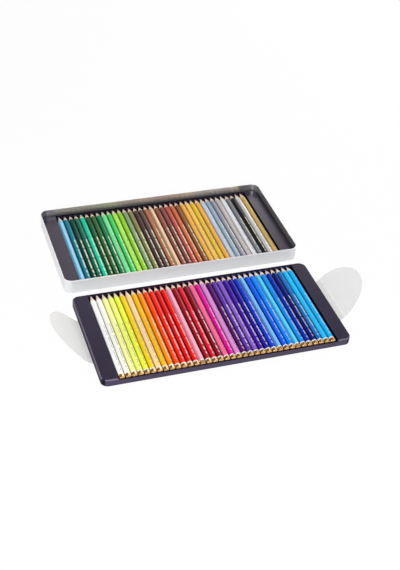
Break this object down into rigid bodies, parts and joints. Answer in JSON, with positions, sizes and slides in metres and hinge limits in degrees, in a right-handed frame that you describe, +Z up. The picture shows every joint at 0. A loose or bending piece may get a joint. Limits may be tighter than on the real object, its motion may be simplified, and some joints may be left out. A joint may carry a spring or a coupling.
{
  "type": "coloured pencil box",
  "caption": "Shallow open metal tin with a tray of coloured pencils inside, and a matching tray lifted out in front of it on a film strip with two pull tabs.",
  "frame": {"origin": "on the table, under the middle of the whole set", "axes": "+X along the rows of pencils, +Y from the lifted-out tray towards the tin, +Z up"},
  "size_m": [0.449, 0.381, 0.0459],
  "materials": {
    "tin_metal": "satin silver lacquer on tinplate",
    "tray_plastic": "satin, dark aubergine",
    "clear_film": "frosted, milky",
    "lacquer_01_white": "gloss lacquer on wood, gold dipped end",
    "lacquer_02_off_white": "gloss lacquer on wood, gold dipped end",
    "lacquer_03_light_yellow": "gloss lacquer on wood, gold dipped end",
    "lacquer_04_lime_yellow": "gloss lacquer on wood, gold dipped end",
    "lacquer_05_yellow_green": "gloss lacquer on wood, gold dipped end",
    "lacquer_06_golden_yellow": "gloss lacquer on wood, gold dipped end",
    "lacquer_07_peach": "gloss lacquer on wood, gold dipped end",
    "lacquer_08_amber": "gloss lacquer on wood, gold dipped end",
    "lacquer_09_orange": "gloss lacquer on wood, gold dipped end",
    "lacquer_10_red_orange": "gloss lacquer on wood, gold dipped end",
    "lacquer_11_orange_red": "gloss lacquer on wood, gold dipped end",
    "lacquer_12_red": "gloss lacquer on wood, gold dipped end",
    "lacquer_13_bright_red": "gloss lacquer on wood, gold dipped end",
    "lacquer_14_light_pink": "gloss lacquer on wood, gold dipped end",
    "lacquer_15_dark_red": "gloss lacquer on wood, gold dipped end",
    "lacquer_16_crimson": "gloss lacquer on wood, gold dipped end",
    "lacquer_17_maroon": "gloss lacquer on wood, gold dipped end",
    "lacquer_18_hot_pink": "gloss lacquer on wood, gold dipped end",
    "lacquer_19_magenta": "gloss lacquer on wood, gold dipped end",
    "lacquer_20_lilac": "gloss lacquer on wood, gold dipped end",
    "lacquer_21_dark_purple": "gloss lacquer on wood, gold dipped end",
    "lacquer_22_violet_blue": "gloss lacquer on wood, gold dipped end",
    "lacquer_23_purple": "gloss lacquer on wood, gold dipped end",
    "lacquer_24_indigo_violet": "gloss lacquer on wood, gold dipped end",
    "lacquer_25_dark_indigo": "gloss lacquer on wood, gold dipped end",
    "lacquer_26_ultramarine": "gloss lacquer on wood, gold dipped end",
    "lacquer_27_light_blue": "gloss lacquer on wood, gold dipped end",
    "lacquer_28_blue": "gloss lacquer on wood, gold dipped end",
    "lacquer_29_bright_azure": "gloss lacquer on wood, gold dipped end",
    "lacquer_30_light_azure": "gloss lacquer on wood, gold dipped end",
    "lacquer_31_azure": "gloss lacquer on wood, gold dipped end",
    "lacquer_32_royal_blue": "gloss lacquer on wood, gold dipped end",
    "lacquer_33_navy": "gloss lacquer on wood, gold dipped end",
    "lacquer_34_steel_blue": "gloss lacquer on wood, gold dipped end",
    "lacquer_35_bright_cerulean": "gloss lacquer on wood, gold dipped end",
    "lacquer_36_cerulean": "gloss lacquer on wood, gold dipped end",
    "lacquer_group_01_teals": "gloss lacquer on wood, gold dipped end",
    "lacquer_group_02_deep_greens": "gloss lacquer on wood, gold dipped end",
    "lacquer_group_03_leaf_greens": "gloss lacquer on wood, gold dipped end",
    "lacquer_group_04_lime_greens": "gloss lacquer on wood, gold dipped end",
    "lacquer_group_05_olives": "gloss lacquer on wood, gold dipped end",
    "lacquer_group_06_rust_browns": "gloss lacquer on wood, gold dipped end",
    "lacquer_group_07_red_browns": "gloss lacquer on wood, gold dipped end",
    "lacquer_group_08_orange_browns": "gloss lacquer on wood, gold dipped end",
    "lacquer_group_09_ochres": "gloss lacquer on wood, gold dipped end",
    "lacquer_group_10_pale_greys": "gloss lacquer on wood, gold dipped end",
    "lacquer_group_11_silver_greys": "gloss lacquer on wood, gold dipped end",
    "lacquer_group_12_black_and_metallics": "gloss lacquer on wood, gold dipped end"
  },
  "bodies": {
    "tin": {"tin_base": "tin_metal"},
    "lower_tray": {"lower_tray": "tray_plastic"},
    "upper_tray": {"upper_tray": "tray_plastic", "film_strip": "clear_film"},
    "left_riser": {"left_film_riser": "clear_film"},
    "left_tab": {"left_pull_tab": "clear_film"},
    "right_riser": {"right_film_riser": "clear_film"},
    "right_tab": {"right_pull_tab": "clear_film"},
    "upper_pencil_01": {"upper_pencil_01": "lacquer_01_white"},
    "upper_pencil_02": {"upper_pencil_02": "lacquer_02_off_white"},
    "upper_pencil_03": {"upper_pencil_03": "lacquer_03_light_yellow"},
    "upper_pencil_04": {"upper_pencil_04": "lacquer_04_lime_yellow"},
    "upper_pencil_05": {"upper_pencil_05": "lacquer_05_yellow_green"},
    "upper_pencil_06": {"upper_pencil_06": "lacquer_06_golden_yellow"},
    "upper_pencil_07": {"upper_pencil_07": "lacquer_07_peach"},
    "upper_pencil_08": {"upper_pencil_08": "lacquer_08_amber"},
    "upper_pencil_09": {"upper_pencil_09": "lacquer_09_orange"},
    "upper_pencil_10": {"upper_pencil_10": "lacquer_10_red_orange"},
    "upper_pencil_11": {"upper_pencil_11": "lacquer_11_orange_red"},
    "upper_pencil_12": {"upper_pencil_12": "lacquer_12_red"},
    "upper_pencil_13": {"upper_pencil_13": "lacquer_13_bright_red"},
    "upper_pencil_14": {"upper_pencil_14": "lacquer_14_light_pink"},
    "upper_pencil_15": {"upper_pencil_15": "lacquer_15_dark_red"},
    "upper_pencil_16": {"upper_pencil_16": "lacquer_16_crimson"},
    "upper_pencil_17": {"upper_pencil_17": "lacquer_17_maroon"},
    "upper_pencil_18": {"upper_pencil_18": "lacquer_18_hot_pink"},
    "upper_pencil_19": {"upper_pencil_19": "lacquer_19_magenta"},
    "upper_pencil_20": {"upper_pencil_20": "lacquer_20_lilac"},
    "upper_pencil_21": {"upper_pencil_21": "lacquer_21_dark_purple"},
    "upper_pencil_22": {"upper_pencil_22": "lacquer_22_violet_blue"},
    "upper_pencil_23": {"upper_pencil_23": "lacquer_23_purple"},
    "upper_pencil_24": {"upper_pencil_24": "lacquer_24_indigo_violet"},
    "upper_pencil_25": {"upper_pencil_25": "lacquer_25_dark_indigo"},
    "upper_pencil_26": {"upper_pencil_26": "lacquer_26_ultramarine"},
    "upper_pencil_27": {"upper_pencil_27": "lacquer_27_light_blue"},
    "upper_pencil_28": {"upper_pencil_28": "lacquer_28_blue"},
    "upper_pencil_29": {"upper_pencil_29": "lacquer_29_bright_azure"},
    "upper_pencil_30": {"upper_pencil_30": "lacquer_30_light_azure"},
    "upper_pencil_31": {"upper_pencil_31": "lacquer_31_azure"},
    "upper_pencil_32": {"upper_pencil_32": "lacquer_32_royal_blue"},
    "upper_pencil_33": {"upper_pencil_33": "lacquer_33_navy"},
    "upper_pencil_34": {"upper_pencil_34": "lacquer_34_steel_blue"},
    "upper_pencil_35": {"upper_pencil_35": "lacquer_35_bright_cerulean"},
    "upper_pencil_36": {"upper_pencil_36": "lacquer_36_cerulean"},
    "lower_pencils_01_03": {"lower_pencils_01_03": "lacquer_group_01_teals"},
    "lower_pencils_04_06": {"lower_pencils_04_06": "lacquer_group_02_deep_greens"},
    "lower_pencils_07_09": {"lower_pencils_07_09": "lacquer_group_03_leaf_greens"},
    "lower_pencils_10_12": {"lower_pencils_10_12": "lacquer_group_04_lime_greens"},
    "lower_pencils_13_15": {"lower_pencils_13_15": "lacquer_group_05_olives"},
    "lower_pencils_16_18": {"lower_pencils_16_18": "lacquer_group_06_rust_browns"},
    "lower_pencils_19_21": {"lower_pencils_19_21": "lacquer_group_07_red_browns"},
    "lower_pencils_22_24": {"lower_pencils_22_24": "lacquer_group_08_orange_browns"},
    "lower_pencils_25_27": {"lower_pencils_25_27": "lacquer_group_09_ochres"},
    "lower_pencils_28_30": {"lower_pencils_28_30": "lacquer_group_10_pale_greys"},
    "lower_pencils_31_33": {"lower_pencils_31_33": "lacquer_group_11_silver_greys"},
    "lower_pencils_34_36": {"lower_pencils_34_36": "lacquer_group_12_black_and_metallics"}
  },
  "joints": [
    {"name": "lower_tray_lift", "type": "slide", "parent": "tin", "child": "lower_tray", "axis": [0, 0, 1], "range_m": [0, 0.024]},
    {"name": "upper_tray_lift", "type": "slide", "parent": "tin", "child": "upper_tray", "axis": [0, 0, 1], "range_m": [0, 0.03]},
    {"name": "left_riser_crease", "type": "hinge", "parent": "upper_tray", "child": "left_riser", "pos_m": [-0.17845, -0.09815, 0.00017], "axis": [0, 1, 0], "range_deg": [0, 50]},
    {"name": "left_tab_crease", "type": "hinge", "parent": "left_riser", "child": "left_tab", "pos_m": [-0.18826, -0.09815, 0.0084], "axis": [0, 1, 0], "range_deg": [0, 84]},
    {"name": "right_riser_crease", "type": "hinge", "parent": "upper_tray", "child": "right_riser", "pos_m": [0.17845, -0.09815, 0.00017], "axis": [0, -1, 0], "range_deg": [0, 50]},
    {"name": "right_tab_crease", "type": "hinge", "parent": "right_riser", "child": "right_tab", "pos_m": [0.18826, -0.09815, 0.0084], "axis": [0, -1, 0], "range_deg": [0, 84]},
    {"name": "upper_pencil_01_lift", "type": "slide", "parent": "upper_tray", "child": "upper_pencil_01", "axis": [0, 0, 1], "range_m": [0, 0.02]},
    {"name": "upper_pencil_02_lift", "type": "slide", "parent": "upper_tray", "child": "upper_pencil_02", "axis": [0, 0, 1], "range_m": [0, 0.02]},
    {"name": "upper_pencil_03_lift", "type": "slide", "parent": "upper_tray", "child": "upper_pencil_03", "axis": [0, 0, 1], "range_m": [0, 0.02]},
    {"name": "upper_pencil_04_lift", "type": "slide", "parent": "upper_tray", "child": "upper_pencil_04", "axis": [0, 0, 1], "range_m": [0, 0.02]},
    {"name": "upper_pencil_05_lift", "type": "slide", "parent": "upper_tray", "child": "upper_pencil_05", "axis": [0, 0, 1], "range_m": [0, 0.02]},
    {"name": "upper_pencil_06_lift", "type": "slide", "parent": "upper_tray", "child": "upper_pencil_06", "axis": [0, 0, 1], "range_m": [0, 0.02]},
    {"name": "upper_pencil_07_lift", "type": "slide", "parent": "upper_tray", "child": "upper_pencil_07", "axis": [0, 0, 1], "range_m": [0, 0.02]},
    {"name": "upper_pencil_08_lift", "type": "slide", "parent": "upper_tray", "child": "upper_pencil_08", "axis": [0, 0, 1], "range_m": [0, 0.02]},
    {"name": "upper_pencil_09_lift", "type": "slide", "parent": "upper_tray", "child": "upper_pencil_09", "axis": [0, 0, 1], "range_m": [0, 0.02]},
    {"name": "upper_pencil_10_lift", "type": "slide", "parent": "upper_tray", "child": "upper_pencil_10", "axis": [0, 0, 1], "range_m": [0, 0.02]},
    {"name": "upper_pencil_11_lift", "type": "slide", "parent": "upper_tray", "child": "upper_pencil_11", "axis": [0, 0, 1], "range_m": [0, 0.02]},
    {"name": "upper_pencil_12_lift", "type": "slide", "parent": "upper_tray", "child": "upper_pencil_12", "axis": [0, 0, 1], "range_m": [0, 0.02]},
    {"name": "upper_pencil_13_lift", "type": "slide", "parent": "upper_tray", "child": "upper_pencil_13", "axis": [0, 0, 1], "range_m": [0, 0.02]},
    {"name": "upper_pencil_14_lift", "type": "slide", "parent": "upper_tray", "child": "upper_pencil_14", "axis": [0, 0, 1], "range_m": [0, 0.02]},
    {"name": "upper_pencil_15_lift", "type": "slide", "parent": "upper_tray", "child": "upper_pencil_15", "axis": [0, 0, 1], "range_m": [0, 0.02]},
    {"name": "upper_pencil_16_lift", "type": "slide", "parent": "upper_tray", "child": "upper_pencil_16", "axis": [0, 0, 1], "range_m": [0, 0.02]},
    {"name": "upper_pencil_17_lift", "type": "slide", "parent": "upper_tray", "child": "upper_pencil_17", "axis": [0, 0, 1], "range_m": [0, 0.02]},
    {"name": "upper_pencil_18_lift", "type": "slide", "parent": "upper_tray", "child": "upper_pencil_18", "axis": [0, 0, 1], "range_m": [0, 0.02]},
    {"name": "upper_pencil_19_lift", "type": "slide", "parent": "upper_tray", "child": "upper_pencil_19", "axis": [0, 0, 1], "range_m": [0, 0.02]},
    {"name": "upper_pencil_20_lift", "type": "slide", "parent": "upper_tray", "child": "upper_pencil_20", "axis": [0, 0, 1], "range_m": [0, 0.02]},
    {"name": "upper_pencil_21_lift", "type": "slide", "parent": "upper_tray", "child": "upper_pencil_21", "axis": [0, 0, 1], "range_m": [0, 0.02]},
    {"name": "upper_pencil_22_lift", "type": "slide", "parent": "upper_tray", "child": "upper_pencil_22", "axis": [0, 0, 1], "range_m": [0, 0.02]},
    {"name": "upper_pencil_23_lift", "type": "slide", "parent": "upper_tray", "child": "upper_pencil_23", "axis": [0, 0, 1], "range_m": [0, 0.02]},
    {"name": "upper_pencil_24_lift", "type": "slide", "parent": "upper_tray", "child": "upper_pencil_24", "axis": [0, 0, 1], "range_m": [0, 0.02]},
    {"name": "upper_pencil_25_lift", "type": "slide", "parent": "upper_tray", "child": "upper_pencil_25", "axis": [0, 0, 1], "range_m": [0, 0.02]},
    {"name": "upper_pencil_26_lift", "type": "slide", "parent": "upper_tray", "child": "upper_pencil_26", "axis": [0, 0, 1], "range_m": [0, 0.02]},
    {"name": "upper_pencil_27_lift", "type": "slide", "parent": "upper_tray", "child": "upper_pencil_27", "axis": [0, 0, 1], "range_m": [0, 0.02]},
    {"name": "upper_pencil_28_lift", "type": "slide", "parent": "upper_tray", "child": "upper_pencil_28", "axis": [0, 0, 1], "range_m": [0, 0.02]},
    {"name": "upper_pencil_29_lift", "type": "slide", "parent": "upper_tray", "child": "upper_pencil_29", "axis": [0, 0, 1], "range_m": [0, 0.02]},
    {"name": "upper_pencil_30_lift", "type": "slide", "parent": "upper_tray", "child": "upper_pencil_30", "axis": [0, 0, 1], "range_m": [0, 0.02]},
    {"name": "upper_pencil_31_lift", "type": "slide", "parent": "upper_tray", "child": "upper_pencil_31", "axis": [0, 0, 1], "range_m": [0, 0.02]},
    {"name": "upper_pencil_32_lift", "type": "slide", "parent": "upper_tray", "child": "upper_pencil_32", "axis": [0, 0, 1], "range_m": [0, 0.02]},
    {"name": "upper_pencil_33_lift", "type": "slide", "parent": "upper_tray", "child": "upper_pencil_33", "axis": [0, 0, 1], "range_m": [0, 0.02]},
    {"name": "upper_pencil_34_lift", "type": "slide", "parent": "upper_tray", "child": "upper_pencil_34", "axis": [0, 0, 1], "range_m": [0, 0.02]},
    {"name": "upper_pencil_35_lift", "type": "slide", "parent": "upper_tray", "child": "upper_pencil_35", "axis": [0, 0, 1], "range_m": [0, 0.02]},
    {"name": "upper_pencil_36_lift", "type": "slide", "parent": "upper_tray", "child": "upper_pencil_36", "axis": [0, 0, 1], "range_m": [0, 0.02]},
    {"name": "lower_pencils_01_03_lift", "type": "slide", "parent": "lower_tray", "child": "lower_pencils_01_03", "axis": [0, 0, 1], "range_m": [0, 0.025]},
    {"name": "lower_pencils_04_06_lift", "type": "slide", "parent": "lower_tray", "child": "lower_pencils_04_06", "axis": [0, 0, 1], "range_m": [0, 0.025]},
    {"name": "lower_pencils_07_09_lift", "type": "slide", "parent": "lower_tray", "child": "lower_pencils_07_09", "axis": [0, 0, 1], "range_m": [0, 0.025]},
    {"name": "lower_pencils_10_12_lift", "type": "slide", "parent": "lower_tray", "child": "lower_pencils_10_12", "axis": [0, 0, 1], "range_m": [0, 0.025]},
    {"name": "lower_pencils_13_15_lift", "type": "slide", "parent": "lower_tray", "child": "lower_pencils_13_15", "axis": [0, 0, 1], "range_m": [0, 0.025]},
    {"name": "lower_pencils_16_18_lift", "type": "slide", "parent": "lower_tray", "child": "lower_pencils_16_18", "axis": [0, 0, 1], "range_m": [0, 0.025]},
    {"name": "lower_pencils_19_21_lift", "type": "slide", "parent": "lower_tray", "child": "lower_pencils_19_21", "axis": [0, 0, 1], "range_m": [0, 0.025]},
    {"name": "lower_pencils_22_24_lift", "type": "slide", "parent": "lower_tray", "child": "lower_pencils_22_24", "axis": [0, 0, 1], "range_m": [0, 0.025]},
    {"name": "lower_pencils_25_27_lift", "type": "slide", "parent": "lower_tray", "child": "lower_pencils_25_27", "axis": [0, 0, 1], "range_m": [0, 0.025]},
    {"name": "lower_pencils_28_30_lift", "type": "slide", "parent": "lower_tray", "child": "lower_pencils_28_30", "axis": [0, 0, 1], "range_m": [0, 0.025]},
    {"name": "lower_pencils_31_33_lift", "type": "slide", "parent": "lower_tray", "child": "lower_pencils_31_33", "axis": [0, 0, 1], "range_m": [0, 0.025]},
    {"name": "lower_pencils_34_36_lift", "type": "slide", "parent": "lower_tray", "child": "lower_pencils_34_36", "axis": [0, 0, 1], "range_m": [0, 0.025]}
  ]
}
